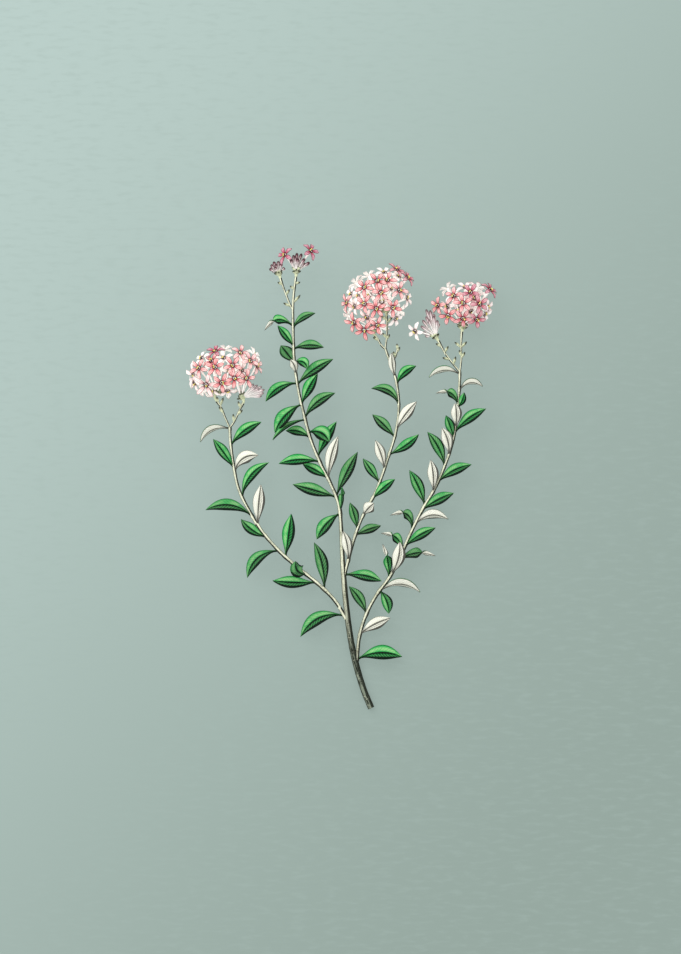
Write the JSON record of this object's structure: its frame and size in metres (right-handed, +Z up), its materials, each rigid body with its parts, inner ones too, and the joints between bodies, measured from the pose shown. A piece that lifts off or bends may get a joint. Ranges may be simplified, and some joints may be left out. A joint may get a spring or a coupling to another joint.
{
  "type": "cut selago stem",
  "caption": "Cut branching flower stem lying on a surface, with lance-shaped leaves along its shoots and rounded heads of small long-tubed pink flowers.",
  "frame": {"origin": "on the surface that the stem lies on, under the middle of its box", "axes": "+Y along the stem from the cut end to the flowers, +Z up from the surface, +X to the right as seen from above"},
  "size_m": [0.1705, 0.2568, 0.0365],
  "materials": {
    "leaf": "satin",
    "petal": "matte",
    "bud": "matte"
  },
  "bodies": {
    "root": {"stem_tall": "leaf", "branch_left": "leaf", "branch_middle": "leaf", "branch_right": "leaf", "head_left": "petal", "head_middle": "petal", "head_right": "petal", "cluster_right": "bud", "head_top_left": "bud", "head_top": "bud"}
  },
  "joints": []
}
